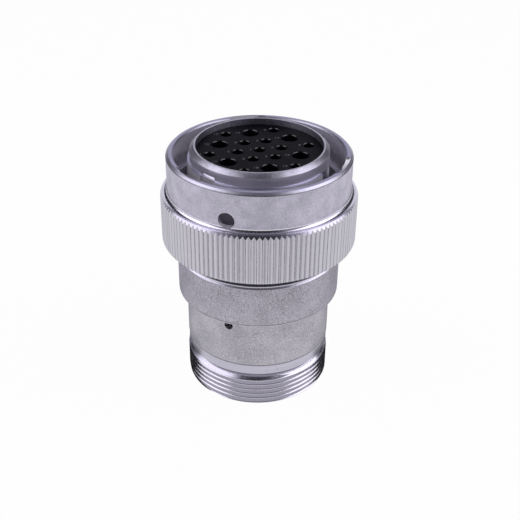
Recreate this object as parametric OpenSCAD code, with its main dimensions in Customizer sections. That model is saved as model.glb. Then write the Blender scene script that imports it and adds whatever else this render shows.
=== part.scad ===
// Straight plug of a circular bayonet connector with a socket insert.
// The plug stands on its rear end: the origin is the centre of the rear face,
// +Z runs along the axis to the mating face and -Y is the front.

/* [Endbell] */
// Outer diameter of the rear accessory thread
accessory_thread_d = 36.51; // [36.2:0.01:37.2]
// Length of the accessory thread
accessory_thread_len = 8.2; // [6:0.1:12]
// Chamfer at the rear edge of the thread
rear_chamfer = 0.2; // [0.1:0.05:0.9]
// Diameter at the bottom of the thread relief
relief_d = 34.6; // [33.6:0.1:35.2]
// Width of the thread relief
relief_len = 1.2; // [0.8:0.05:2.5]
// Diameter of the turned land above the relief
land_d = 36; // [35.4:0.05:36.4]
// Width of the turned land
land_len = 2.9; // [1.5:0.05:5]
// Outer diameter of the endbell
endbell_d = 36.24; // [35.8:0.02:37.4]
// Length of the endbell's wall, from the turned land to the shell
endbell_len = 13; // [9:0.1:20]
// Diameter of the cable entry
cable_bore_d = 31; // [29.5:0.1:31.8]
// Length of the spigot that screws into the shell
spigot_len = 6.6; // [5:0.1:8]
// Diameter of a spanner hole
spanner_hole_d = 2.2; // [1.5:0.1:3]
// Drop from the shell's rear edge to a spanner hole's centre
spanner_hole_drop = 2; // [1.6:0.1:4]
// Direction of the first spanner hole
spanner_hole_angle = 247; // [0:1:359]
// Number of spanner holes round the endbell
spanner_hole_count = 2; // [1:1:4]

/* [Shell] */
// Outer diameter of the shell's body
body_d = 40.36; // [39.4:0.02:42]
// Length of the body up to its front chamfer
body_len = 10.7; // [9.6:0.1:14]
// Chamfer at the body's front edge
body_chamfer = 0.35; // [0.2:0.05:0.9]
// Height of the low rim above the body's chamfer
body_rim_len = 0.4; // [0.2:0.05:0.9]
// Step from that rim in to the ring's seat
seat_step = 0.85; // [0.6:0.05:1]
// Height of the ring's seat above the rim
seat_rise = 3.1; // [1.5:0.05:5]
// Diameter of the neck that the coupling ring turns on
neck_d = 37; // [36.4:0.1:37.4]
// Diameter of the shell's rear thread, which takes the endbell
rear_thread_d = 34.5; // [34.2:0.05:35]
// Diameter of the barrel behind its keyed lead-in
barrel_d = 34.2; // [33.8:0.05:34.8]
// Diameter of the barrel's lead-in
lead_in_d = 33; // [32.4:0.05:33.4]
// Bore of the barrel
barrel_bore_d = 30.2; // [29.4:0.05:30.6]
// Length of the lead-in
lead_in_len = 3.25; // [2:0.05:5]
// Reach of the barrel past the ring's mouth
barrel_reach = 1.75; // [0.5:0.05:3]
// Fall of the sloped rim at the barrel's mouth
rim_fall = 0.85; // [0.4:0.05:1.4]
// Width of the flat at the top of the rim
rim_flat = 0.2; // [0.1:0.05:0.5]

/* [Keyways] */
// Direction of the wide keyway
master_keyway_angle = 225.5; // [0:0.5:359.5]
// Width of the wide keyway
master_keyway_w = 4.2; // [3:0.1:5]
// Width of a narrow keyway
minor_keyway_w = 1.6; // [1:0.1:2.4]
// Turn from the wide keyway to each narrow one
minor_keyway_turns = [105, 140, 215, 265]; // [30:1:330]

/* [Coupling ring] */
// Length of the coupling ring
ring_len = 22.1; // [20:0.1:26]
// Diameter over the knurl's crests
knurl_d = 47.6; // [46.8:0.1:50]
// Length of the knurled grip
knurl_len = 12.35; // [9:0.05:13]
// Number of knurl crests
knurl_teeth = 120; // [90:1:140]
// Depth of the knurl's grooves
knurl_depth = 0.4; // [0.25:0.05:0.7]
// Width of the flat on a crest
knurl_land = 0.25; // [0.1:0.05:0.4]
// Depth of the chamfer at the front end of the knurl
knurl_chamfer = 0.5; // [0.3:0.05:0.9]
// Length of that chamfer
knurl_chamfer_len = 0.8; // [0.3:0.05:1.2]
// Chamfer at the rear end of the knurl
knurl_rear_chamfer = 0.15; // [0.1:0.05:0.9]
// Diameter of the smooth band
band_d = 44.2; // [43.6:0.1:44.8]
// Fillet between the smooth band and the knurl
fillet_r = 0.95; // [0.4:0.05:1]
// Bore at the ring's mouth
mouth_d = 40.6; // [40.4:0.05:41]
// Chamfer round the outside of the mouth
mouth_chamfer = 0.55; // [0.3:0.05:0.7]
// Chamfer round the inside of the mouth
mouth_lead = 0.3; // [0.1:0.05:0.5]
// Thickness of the flange at the ring's rear
flange_len = 3.5; // [2.5:0.1:4]

/* [Bayonet] */
// Number of bayonet tracks
track_count = 3; // [2:1:3]
// Diameter at the bottom of a track
track_d = 42.2; // [41.6:0.05:42.6]
// Direction of the first entry slot
entry_angle = 339; // [0:1:359]
// Width of an entry slot, as an angle
entry_span = 25; // [18:1:26]
// Turn from the entry slot to the locked place
track_turn = 88; // [60:1:90]
// Width of a track along the axis
track_w = 4.2; // [3.4:0.1:4.6]
// Depth of a track's middle below the mouth at the entry slot
entry_depth = 3.7; // [3.4:0.1:4.4]
// Depth of a track's middle below the mouth at the locked place
lock_depth = 7.3; // [6:0.1:8]
// Diameter of an inspection window
window_d = 3.9; // [2.5:0.1:4]

/* [Ring retention] */
// Thickness of the thrust washer
thrust_washer_t = 0.8; // [0.5:0.05:1.2]
// Free height of the wave washer
wave_h = 2; // [1.6:0.05:2.4]
// Thickness of the wave washer's strip
wave_t = 0.5; // [0.3:0.05:0.6]
// Number of waves round the wave washer
wave_count = 3; // [3:1:5]
// Thickness of the retaining ring
clip_t = 1.2; // [0.8:0.05:1.5]
// Depth of the retaining ring's groove in the neck
clip_groove_depth = 0.9; // [0.5:0.05:1.2]
// Opening of the retaining ring, as an angle
clip_opening = 14; // [6:1:40]
// Width of the neck's land in front of the retaining ring
clip_land = 1.4; // [1:0.1:2]
// Thickness of the interface seal
seal_t = 1.6; // [1:0.1:2]
// Height of the step that the interface seal sits on, above the barrel
seal_step = 0.3; // [0.2:0.05:0.5]

/* [Insert] */
// Drop from the barrel's rim to the insert's face
insert_drop = 1.55; // [0.6:0.05:3]
// Depth of the insert's seat behind the neck's front face
insert_seat_depth = 5.5; // [4:0.1:7]
// Diameter of the insert's flange
insert_flange_d = 32.1; // [31.4:0.05:32.4]
// Thickness of the insert's flange
insert_flange_len = 2; // [1.5:0.1:3]
// Thickness of the rear insert
rear_insert_len = 3.8; // [3:0.1:4.5]
// Thickness of the grommet follower
follower_t = 1.3; // [1:0.1:1.5]
// Opening of the grommet follower
follower_bore_d = 28; // [27.6:0.1:29]
// Gap between the follower and the shell, so that it presses on the grommet alone
follower_gap = 0.3; // [0.1:0.05:0.5]
// Chamfer round the insert's face
insert_edge = 0.2; // [0.1:0.05:0.5]
// Depth of the lead-in at a contact hole
hole_lead = 0.18; // [0.05:0.01:0.3]
// Height of a sealing lip in the grommet
lip_rise = 0.4; // [0.2:0.05:0.6]
// Half width of a sealing lip at its foot
lip_t = 0.6; // [0.3:0.05:0.8]

/* [Contacts] */
// Circle through the inner small contacts
inner_pcd = 10.56; // [10:0.02:11]
// Circle through the large contacts
power_pcd = 19.86; // [19.4:0.02:20.4]
// Circle through the outer small contacts
outer_pcd = 23.9; // [23.4:0.02:24.2]
// Turn of the contact pattern
contact_turn = 13.5; // [0:0.5:60]
// Diameter of the pin that a small contact takes
signal_pin_d = 1.6; // [1.4:0.05:1.7]
// Diameter of the pin that a large contact takes
power_pin_d = 2.4; // [2.2:0.05:2.6]
// Wall of a small socket
signal_wall = 0.4; // [0.3:0.01:0.45]
// Wall of a large socket
power_wall = 0.66; // [0.5:0.01:0.75]
// Diameter of the hole for the wire in a small contact
signal_wire_d = 1.2; // [1:0.05:1.2]
// Diameter of the hole for the wire in a large contact
power_wire_d = 2; // [1.6:0.05:2]
// Drop from the insert's face to the front of the sockets
contact_recess = 3; // [1:0.1:5]
// Depth of a socket
socket_depth = 9; // [7:0.1:11]
// Width of the slit between a socket's two tines
slit_w = 0.3; // [0.2:0.05:0.4]
// Length of the slit
slit_len = 6; // [4:0.1:7]
// Chamfer at the front edge of a socket
nose_chamfer = 0.15; // [0.05:0.05:0.25]
// Height of a contact's collar above its barrel
collar_rise = 0.5; // [0.3:0.05:0.6]
// Thickness of a contact's collar
collar_t = 1.4; // [1:0.1:1.8]
// Length of a contact's tail behind its collar
tail_len = 3.2; // [2.6:0.1:3.6]
// Depth of the hole for the wire in the tail
crimp_depth = 4; // [2.5:0.1:5]

/* [Clearances] */
// Radial gap where the ring and its washers turn on the neck
running_gap = 0.08; // [0.05:0.01:0.1]
// Axial gap between the ring, its washers and the shell
axial_gap = 0.05; // [0.03:0.01:0.08]
// Radial gap round the pieces that are fixed in the shell
seat_gap = 0.05; // [0.03:0.01:0.08]
// Radial gap between a contact and its hole in the insert
contact_gap = 0.115; // [0.08:0.005:0.15]
// Radial gap between the hidden retention pieces and the ring's bore
bore_gap = 0.4; // [0.3:0.05:0.5]

/* [Hidden] */
$fn = 96;
// overshoot of a cutting shape past the face that it opens
cut = 1;

// heights along the axis, from the rear face up
relief_z = accessory_thread_len;
land_z = relief_z + relief_len;
endbell_z = land_z + land_len;
shell_z = endbell_z + endbell_len;
spigot_z = shell_z + spigot_len;
body_top_z = shell_z + body_len;
body_rim_z = body_top_z + body_chamfer + body_rim_len;
seat_z = body_rim_z + seat_rise;
ring_z = seat_z + axial_gap;
flange_z = ring_z + flange_len;
thrust_z = flange_z + axial_gap;
wave_z = thrust_z + thrust_washer_t + axial_gap;
clip_z = wave_z + wave_h + axial_gap;
neck_z = clip_z + clip_t + clip_land;
barrel_z = neck_z + seal_t;
mouth_z = ring_z + ring_len;
knurl_z = ring_z + knurl_len;
rim_z = mouth_z + barrel_reach;
ridge_z = rim_z - lead_in_len;
face_z = rim_z - insert_drop;

// heights of the insert stack, from the follower up
follower_z = spigot_z;
grommet_z = follower_z + follower_t;
bore_step_z = grommet_z + follower_gap;
insert_step_z = neck_z - insert_seat_depth;
insert_rear_z = insert_step_z - insert_flange_len;
rear_insert_z = insert_rear_z - rear_insert_len;
socket_z = face_z - contact_recess;
collar_z = insert_rear_z - collar_t;
tail_z = collar_z - tail_len;

// radii that follow from a neighbour
spigot_r = rear_thread_d / 2 - seat_gap;
insert_bore_r = insert_flange_d / 2 + seat_gap;
insert_r = barrel_bore_d / 2 - seat_gap;
washer_r = neck_d / 2 + running_gap;
retention_r = mouth_d / 2 - bore_gap;
seal_seat_r = barrel_d / 2 + seal_step;
clip_bore_r = neck_d / 2 - clip_groove_depth;
knurl_r = knurl_d / 2;
keyway_floor = lead_in_d / 2 + seat_gap;
track_r = track_d / 2;

// contact places, as distance from the axis and angle: the large ones stand half a step on
six_step = 60;
ring_of_six = [0:six_step:300];
signal_places = concat(
    [[0, 0]],
    [for (a = ring_of_six) [inner_pcd / 2, contact_turn + a]],
    [for (a = ring_of_six) [outer_pcd / 2, contact_turn + a]]
);
power_places = [for (a = ring_of_six) [power_pcd / 2, contact_turn + six_step / 2 + a]];

// sizes of the two kinds of contact
function socket_r(pin_d, wall) = pin_d / 2 + wall;
signal_r = socket_r(signal_pin_d, signal_wall);
power_r = socket_r(power_pin_d, power_wall);

function polar(r, a) = [r * cos(a), r * sin(a)];
function two_digits(i) = i < 10 ? str("0", i) : str(i);
signal_nodes = [for (i = [1:len(signal_places)]) str("signal_contact_", two_digits(i))];
power_nodes = [for (i = [1:len(power_places)]) str("power_contact_", two_digits(i))];

// plain ring between two radii
module washer(r_in, r_out, z, t) {
    translate([0, 0, z])
        difference() {
            cylinder(r = r_out, h = t);
            translate([0, 0, -cut]) cylinder(r = r_in, h = t + 2 * cut);
        }
}

// skin over a row of four-cornered sections, closed into a ring or capped at its ends
module skin(sections, closed = false) {
    n = len(sections);
    last = closed ? n - 1 : n - 2;
    sides = [
        for (i = [0:last])
            for (k = [0:3])
                let (
                    j = (i + 1) % n,
                    m = (k + 1) % 4
                )
                each [
                    [4 * i + k, 4 * j + m, 4 * j + k],
                    [4 * i + k, 4 * i + m, 4 * j + m]
                ]
    ];
    ends = [[3, 2, 1, 0], [for (k = [0:3]) 4 * (n - 1) + k]];
    polyhedron([for (s = sections) each s], closed ? sides : concat(sides, ends));
}

// four corners of an upright section at angle a, between two radii and two heights
function upright(a, r_in, r_out, z_low, z_high) = [
    [each polar(r_in, a), z_low],
    [each polar(r_out, a), z_low],
    [each polar(r_out, a), z_high],
    [each polar(r_in, a), z_high]
];

// part of a ring between two angles
module sector(r_in, r_out, z, h, from, span) {
    rotate([0, 0, from])
        rotate_extrude(angle = span)
            translate([r_in, z])
                square([r_out - r_in, h]);
}

// coupling ring

// outline of the knurl: crests with a narrow flat and straight-sided grooves between them
function knurl_outline() =
    let (
        pitch = 360 / knurl_teeth,
        half_land = knurl_land / knurl_d * 180 / PI
    )
    [
        for (i = [0:knurl_teeth - 1])
            let (a = i * pitch - pitch / 3)
            each [
                polar(knurl_r, a - half_land),
                polar(knurl_r, a + half_land),
                polar(knurl_r - knurl_depth, a + pitch / 2)
            ]
    ];

// grip with its two edges chamfered through the grooves
module knurled_grip() {
    front_slope = knurl_chamfer_len / knurl_chamfer;
    intersection() {
        translate([0, 0, ring_z])
            linear_extrude(knurl_len) polygon(knurl_outline());
        rotate_extrude()
            polygon([
                [0, ring_z],
                [knurl_r - knurl_rear_chamfer, ring_z],
                [knurl_r + cut, ring_z + knurl_rear_chamfer + cut],
                [knurl_r + cut, knurl_z - knurl_chamfer_len - front_slope * cut],
                [knurl_r - knurl_chamfer, knurl_z],
                [0, knurl_z]
            ]);
    }
}

// smooth band with the fillet at its foot
module ring_band() {
    band_r = band_d / 2;
    rotate_extrude()
        difference() {
            polygon([
                [0, knurl_z - cut],
                [band_r + fillet_r, knurl_z - cut],
                [band_r + fillet_r, knurl_z],
                [band_r, knurl_z + fillet_r],
                [band_r, mouth_z - mouth_chamfer],
                [band_r - mouth_chamfer, mouth_z],
                [0, mouth_z]
            ]);
            translate([band_r + fillet_r, knurl_z + fillet_r]) circle(r = fillet_r);
        }
}

// bore of the ring: running fit in the flange, then the mating cavity
module ring_bore() {
    mouth_r = mouth_d / 2;
    rotate_extrude()
        polygon([
            [0, ring_z - cut],
            [washer_r, ring_z - cut],
            [washer_r, flange_z],
            [mouth_r, flange_z],
            [mouth_r, mouth_z - mouth_lead],
            [mouth_r + mouth_lead + cut, mouth_z + cut],
            [0, mouth_z + cut]
        ]);
}

// one bayonet track: the entry slot, the ramp down from it and the window at its end
module bayonet_track() {
    steps = 24;
    lug_half = entry_span / 2;
    inside_r = mouth_d / 2 - cut;
    outside_r = track_r + cut;
    entry_z = mouth_z - entry_depth;
    lock_z = mouth_z - lock_depth;
    ramp_from = -track_turn - lug_half;
    ramp_span = lug_half / 2 - ramp_from;
    ramp = [
        for (i = [0:steps])
            let (
                a = ramp_from + ramp_span * i / steps,
                z = max(lock_z, entry_z + (entry_z - lock_z) * a / track_turn)
            )
            upright(a, inside_r, outside_r, z - track_w / 2, z + track_w / 2)
    ];
    slot_z = entry_z - track_w / 2;
    intersection() {
        translate([0, 0, flange_z]) cylinder(r = track_r, h = ring_len);
        union() {
            skin(ramp);
            sector(inside_r, outside_r, slot_z, mouth_z + cut - slot_z, -lug_half, entry_span);
        }
    }
    rotate([0, 0, -track_turn])
        translate([inside_r, 0, lock_z])
            rotate([0, 90, 0]) cylinder(d = window_d, h = knurl_r);
}

module coupling_ring() {
    color("lightsteelblue")
        difference() {
            union() {
                knurled_grip();
                ring_band();
            }
            ring_bore();
            for (i = [0:track_count - 1])
                rotate([0, 0, entry_angle + 360 * i / track_count]) bayonet_track();
        }
}

// plug shell

// straight keyway along the barrel, open at the front
module keyway(angle, width) {
    rotate([0, 0, angle])
        translate([keyway_floor, -width / 2, barrel_z])
            cube([barrel_d, width, rim_z]);
}

module shell_outside() {
    body_r = body_d / 2;
    body_rim_r = body_r - body_chamfer;
    seat_r = body_rim_r - seat_step;
    barrel_r = barrel_d / 2;
    lead_in_r = lead_in_d / 2;
    rotate_extrude()
        polygon([
            [0, shell_z],
            [body_r, shell_z],
            [body_r, body_top_z],
            [body_rim_r, body_top_z + body_chamfer],
            [body_rim_r, body_rim_z],
            [seat_r, body_rim_z],
            [seat_r, seat_z],
            [neck_d / 2, seat_z],
            [neck_d / 2, neck_z],
            [seal_seat_r, neck_z],
            [seal_seat_r, barrel_z],
            [barrel_r, barrel_z],
            [barrel_r, ridge_z],
            [lead_in_r, ridge_z],
            [lead_in_r, rim_z - rim_fall],
            [barrel_bore_d / 2 + rim_flat, rim_z],
            [0, rim_z]
        ]);
}

// stepped bore: barrel, insert seat and rear thread
module shell_bore() {
    rotate_extrude()
        polygon([
            [0, shell_z - cut],
            [rear_thread_d / 2, shell_z - cut],
            [rear_thread_d / 2, bore_step_z],
            [insert_bore_r, bore_step_z],
            [insert_bore_r, insert_step_z],
            [barrel_bore_d / 2, insert_step_z],
            [barrel_bore_d / 2, rim_z + cut],
            [0, rim_z + cut]
        ]);
}

module plug_shell() {
    color("silver")
        difference() {
            shell_outside();
            shell_bore();
            washer(clip_bore_r, neck_d / 2 + cut, clip_z - axial_gap, clip_t + axial_gap);
            keyway(master_keyway_angle, master_keyway_w);
            for (turn = minor_keyway_turns)
                keyway(master_keyway_angle + turn, minor_keyway_w);
        }
}

// endbell

module endbell() {
    thread_r = accessory_thread_d / 2;
    wall_r = endbell_d / 2;
    bore_r = cable_bore_d / 2;
    color("gainsboro")
        difference() {
            rotate_extrude()
                polygon([
                    [bore_r, 0],
                    [thread_r - rear_chamfer, 0],
                    [thread_r, rear_chamfer],
                    [thread_r, relief_z],
                    [relief_d / 2, relief_z],
                    [relief_d / 2, land_z],
                    [land_d / 2, land_z],
                    [land_d / 2, endbell_z],
                    [wall_r, endbell_z],
                    [wall_r, shell_z],
                    [spigot_r, shell_z],
                    [spigot_r, spigot_z],
                    [bore_r, spigot_z]
                ]);
            for (i = [0:spanner_hole_count - 1])
                rotate([0, 0, spanner_hole_angle + 360 * i / spanner_hole_count])
                    translate([bore_r - cut, 0, shell_z - spanner_hole_drop])
                        rotate([0, 90, 0]) cylinder(d = spanner_hole_d, h = wall_r);
        }
}

// pieces that hold the coupling ring on

module thrust_washer() {
    color("darkgray") washer(washer_r, retention_r, thrust_z, thrust_washer_t);
}

// strip that rises and falls round the neck, three times by default
module wave_washer() {
    steps = 24 * wave_count;
    swing = (wave_h - wave_t) / 2;
    color("dimgray")
        skin(
            [
                for (i = [0:steps - 1])
                    let (
                        a = 360 * i / steps,
                        z = wave_z + swing + swing * sin(wave_count * a)
                    )
                    upright(a, washer_r, retention_r, z, z + wave_t)
            ],
            closed = true
        );
}

module retaining_ring() {
    color("dimgray")
        sector(
            clip_bore_r + seat_gap, retention_r, clip_z, clip_t,
            90 + clip_opening / 2, 360 - clip_opening
        );
}

module interface_seal() {
    color("black") washer(seal_seat_r + seat_gap, neck_d / 2, neck_z, seal_t);
}

// insert stack

// runs its child once at each contact place
module at_places(places) {
    for (p = places)
        rotate([0, 0, p[1]]) translate([p[0], 0, 0]) children();
}

// hole for one contact in the front insert, with a lead-in at the face
module insert_hole(r) {
    hole_r = r + contact_gap;
    translate([0, 0, insert_rear_z - cut]) cylinder(r = hole_r, h = face_z);
    translate([0, 0, face_z - hole_lead])
        cylinder(r1 = hole_r, r2 = hole_r + hole_lead + cut, h = hole_lead + cut);
}

module front_insert() {
    color("black")
        difference() {
            rotate_extrude()
                polygon([
                    [0, insert_rear_z],
                    [insert_flange_d / 2, insert_rear_z],
                    [insert_flange_d / 2, insert_step_z],
                    [insert_r, insert_step_z],
                    [insert_r, face_z - insert_edge],
                    [insert_r - insert_edge, face_z],
                    [0, face_z]
                ]);
            at_places(signal_places) insert_hole(signal_r);
            at_places(power_places) insert_hole(power_r);
        }
}

// hole for one contact in the rear insert, with a seat for its collar
module retention_hole(r) {
    translate([0, 0, rear_insert_z - cut])
        cylinder(r = r + contact_gap, h = rear_insert_len + 2 * cut);
    translate([0, 0, collar_z])
        cylinder(r = r + collar_rise + seat_gap, h = collar_t + cut);
}

module rear_insert() {
    color("black")
        difference() {
            translate([0, 0, rear_insert_z])
                cylinder(d = insert_flange_d, h = rear_insert_len);
            at_places(signal_places) retention_hole(signal_r);
            at_places(power_places) retention_hole(power_r);
        }
}

// hole for one wire in the grommet: a seat for the tail, then two sealing lips
module wire_hole(r) {
    tail_r = r + contact_gap;
    lip_r = r - lip_rise;
    floor_z = tail_z - seat_gap;
    low_z = grommet_z + (floor_z - grommet_z) / 3;
    rotate_extrude()
        polygon([
            [0, grommet_z - cut],
            [r, grommet_z - cut],
            [r, low_z - lip_t],
            [lip_r, low_z],
            [r, low_z + lip_t],
            [r, floor_z - lip_t],
            [lip_r, floor_z],
            [tail_r, floor_z],
            [tail_r, rear_insert_z + cut],
            [0, rear_insert_z + cut]
        ]);
}

module grommet() {
    color("darkslategray")
        difference() {
            translate([0, 0, grommet_z])
                cylinder(d = insert_flange_d, h = rear_insert_z - grommet_z);
            at_places(signal_places) wire_hole(signal_r);
            at_places(power_places) wire_hole(power_r);
        }
}

module grommet_follower() {
    color("silver") washer(follower_bore_d / 2, spigot_r, follower_z, follower_t);
}

// contacts

// slit socket in front, collar in the middle and a drilled tail behind
module socket_contact(place, pin_d, wire_d, r) {
    pin_r = pin_d / 2;
    wire_r = wire_d / 2;
    rotate([0, 0, place[1]])
        translate([place[0], 0, 0])
            difference() {
                rotate_extrude()
                    polygon([
                        [wire_r, tail_z],
                        [r, tail_z],
                        [r, collar_z],
                        [r + collar_rise, collar_z],
                        [r + collar_rise, insert_rear_z],
                        [r, insert_rear_z],
                        [r, socket_z - nose_chamfer],
                        [r - nose_chamfer, socket_z],
                        [pin_r, socket_z],
                        [pin_r, socket_z - socket_depth],
                        [0, socket_z - socket_depth],
                        [0, tail_z + crimp_depth],
                        [wire_r, tail_z + crimp_depth]
                    ]);
                translate([-r - cut, -slit_w / 2, socket_z - slit_len])
                    cube([2 * (r + cut), slit_w, slit_len + cut]);
            }
}

module signal_contact(i) {
    color("gold") socket_contact(signal_places[i], signal_pin_d, signal_wire_d, signal_r);
}

module power_contact(i) {
    color("gold") socket_contact(power_places[i], power_pin_d, power_wire_d, power_r);
}

coupling_ring();
plug_shell();
endbell();
thrust_washer();
wave_washer();
retaining_ring();
interface_seal();
front_insert();
rear_insert();
grommet();
grommet_follower();
for (i = [0:len(signal_nodes) - 1])
    signal_contact(i);
for (i = [0:len(power_nodes) - 1])
    power_contact(i);
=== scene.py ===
# Looks of a circular bayonet plug: blasted, turned and knurled metal round a black socket insert
import math

import bmesh
import bpy
import numpy as np
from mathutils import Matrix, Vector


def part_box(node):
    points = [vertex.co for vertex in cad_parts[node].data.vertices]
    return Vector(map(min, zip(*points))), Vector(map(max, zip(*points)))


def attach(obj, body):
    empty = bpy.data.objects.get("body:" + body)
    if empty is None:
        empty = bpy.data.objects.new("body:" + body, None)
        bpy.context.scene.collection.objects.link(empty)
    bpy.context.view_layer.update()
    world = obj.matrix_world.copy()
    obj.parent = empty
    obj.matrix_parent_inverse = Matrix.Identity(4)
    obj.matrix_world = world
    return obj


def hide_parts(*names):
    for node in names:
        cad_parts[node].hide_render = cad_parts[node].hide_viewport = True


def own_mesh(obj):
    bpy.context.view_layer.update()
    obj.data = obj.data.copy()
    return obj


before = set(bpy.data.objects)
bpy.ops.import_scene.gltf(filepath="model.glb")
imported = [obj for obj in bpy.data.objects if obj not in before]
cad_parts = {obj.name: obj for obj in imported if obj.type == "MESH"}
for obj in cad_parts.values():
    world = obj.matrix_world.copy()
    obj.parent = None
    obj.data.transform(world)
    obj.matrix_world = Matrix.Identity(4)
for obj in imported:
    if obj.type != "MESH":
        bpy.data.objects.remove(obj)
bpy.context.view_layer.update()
mm = 0.001
hair = 1e-5  # turn, in degrees, from a sharp step to the columns on its two sides
near = 1e-6  # mm within which two sizes are one
print("frame loaded:", len(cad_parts), "solids")


# shapes: every new piece is a grid of points, worked out as whole arrays

def unit(v):
    return v / np.linalg.norm(v, axis=-1, keepdims=True)


def turnFrom(turn, middle, period=360):
    # angle from the nearest middle, in degrees: it runs from minus half a period to half a period
    return (turn - middle + period / 2) % period - period / 2


def turnedOutline(corners, steps):
    # Closed outline with round corners. A corner is r, z and its rounding: its arc swings from where one
    # straight run ends to where the next begins, round a centre on the corner's bisector.
    p, rounding = corners[:, :2], corners[:, 2:3]
    back = unit(np.roll(p, 1, 0) - p)
    ahead = unit(np.roll(p, -1, 0) - p)
    half = np.arccos(np.clip((back * ahead).sum(1, keepdims=True), -1, 1)) / 2
    centre = p + unit(back + ahead) * rounding / np.sin(half)
    start = p + back * rounding / np.tan(half) - centre
    stop = p + ahead * rounding / np.tan(half) - centre
    swing = (np.pi - 2 * half)[:, :, None]
    t = np.linspace(0, 1, steps)[None, :, None]
    arc = np.sin((1 - t) * swing) * start[:, None] + np.sin(t * swing) * stop[:, None]
    return (centre[:, None] + arc / np.sin(swing)).reshape(-1, 2)


def spun(r, z, turn):
    # Point at radius r, height z and angle turn, for whole arrays of rows by columns.
    return np.stack([r * np.cos(turn), r * np.sin(turn), z + 0 * turn], -1) * mm


def runFinishes(kinds, steps):
    # Finish of each row of a turned outline: a corner's last row starts the run that follows it, and its
    # rounding is bright, which is finish 1, where that run is blasted, which is finish 0.
    kinds = np.repeat(kinds.astype(int), steps)
    return np.where(np.arange(len(kinds)) % steps == steps - 1, kinds, np.maximum(kinds, 1))


def gridQuads(rows, cols, closedRows=True, closedCols=True):
    # Four-cornered faces between neighbouring rows and columns.
    i, j = np.meshgrid(
        np.arange(rows - (not closedRows)), np.arange(cols - (not closedCols)), indexing="ij"
    )
    nextI, nextJ = (i + 1) % rows, (j + 1) % cols
    return np.stack([i * cols + j, i * cols + nextJ, nextI * cols + nextJ, nextI * cols + j], -1)


def placed(name, data):
    thing = bpy.data.objects.new(name, data)
    bpy.context.scene.collection.objects.link(thing)
    return thing


def gridPiece(name, points, finish, materials, closedRows=True, closedCols=True):
    quads = gridQuads(*points.shape[:2], closedRows, closedCols)
    finish = np.broadcast_to(finish, quads.shape[:2]).ravel()
    return rawPiece(name, points.reshape(-1, 3), quads.reshape(-1, 4), finish, materials)


def rawPiece(name, points, quads, finish, materials):
    mesh = bpy.data.meshes.new(name)
    mesh.vertices.add(len(points))
    mesh.vertices.foreach_set("co", points.astype(np.float32).ravel())
    mesh.loops.add(quads.size)
    mesh.loops.foreach_set("vertex_index", quads.astype(np.int32).ravel())
    mesh.polygons.add(len(quads))
    mesh.polygons.foreach_set("loop_start", np.arange(0, quads.size, 4, dtype=np.int32))
    mesh.polygons.foreach_set("material_index", finish.astype(np.int32))
    for material in materials:
        mesh.materials.append(material)
    mesh.update(calc_edges=True)
    tidyMesh(mesh)
    return placed(name, mesh)


def tidyMesh(mesh, merge=2e-7, sharp=math.radians(32)):
    shape = bmesh.new()
    shape.from_mesh(mesh)
    bmesh.ops.remove_doubles(shape, verts=shape.verts, dist=merge)
    bmesh.ops.dissolve_degenerate(shape, edges=shape.edges, dist=merge)
    shape.to_mesh(mesh)
    shape.free()
    mesh.shade_smooth()
    mesh.set_sharp_from_angle(angle=sharp)


def radialDrills(turns, start, height, radius, finish, length=5.0):
    # drills that run outwards from the axis, at angles in degrees
    drills = []
    for a in np.radians(turns):
        along = np.array([math.cos(a), math.sin(a), 0])
        place = along * start + [0, 0, height]
        drills.append({"from": place, "along": along, "length": length, "radius": radius, "finish": finish})
    return drills


def drilled(piece, drills, steps=64):
    # Cuts round holes: a drill is a closed tube of points round its own axis, from one end to the other.
    t = np.linspace(0, 2 * np.pi, steps, endpoint=False)[:, None]
    for drill in drills:
        side = unit(np.cross(drill["along"], [0.0, 0.0, 1.0]))
        up = np.cross(side, drill["along"])
        circle = (side * np.cos(t) + up * np.sin(t)) * drill["radius"]
        reach = np.array([[0.0], [0.0], [1.0], [1.0]]) * drill["length"]
        width = np.array([0.0, 1.0, 1.0, 0.0])[:, None, None]
        points = (drill["from"] + reach * drill["along"])[:, None] + circle * width
        cutter = gridPiece(
            "drill", points[::-1] * mm, drill["finish"], piece.data.materials, closedRows=False
        )
        cut = piece.modifiers.new("cut", "BOOLEAN")
        cut.object, cut.solver, cut.operation = cutter, "EXACT", "DIFFERENCE"
        solid = bpy.data.meshes.new_from_object(piece.evaluated_get(bpy.context.evaluated_depsgraph_get()))
        piece.modifiers.remove(cut)
        bpy.data.objects.remove(cutter)
        piece.data = solid
    tidyMesh(piece.data)
    return piece


def dressed(piece, body, slot, *nodes):
    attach(piece, body)
    if nodes:
        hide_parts(*nodes)
    return piece


# shader maths: a value from a node's output, on which Python's operators add Math nodes

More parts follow.
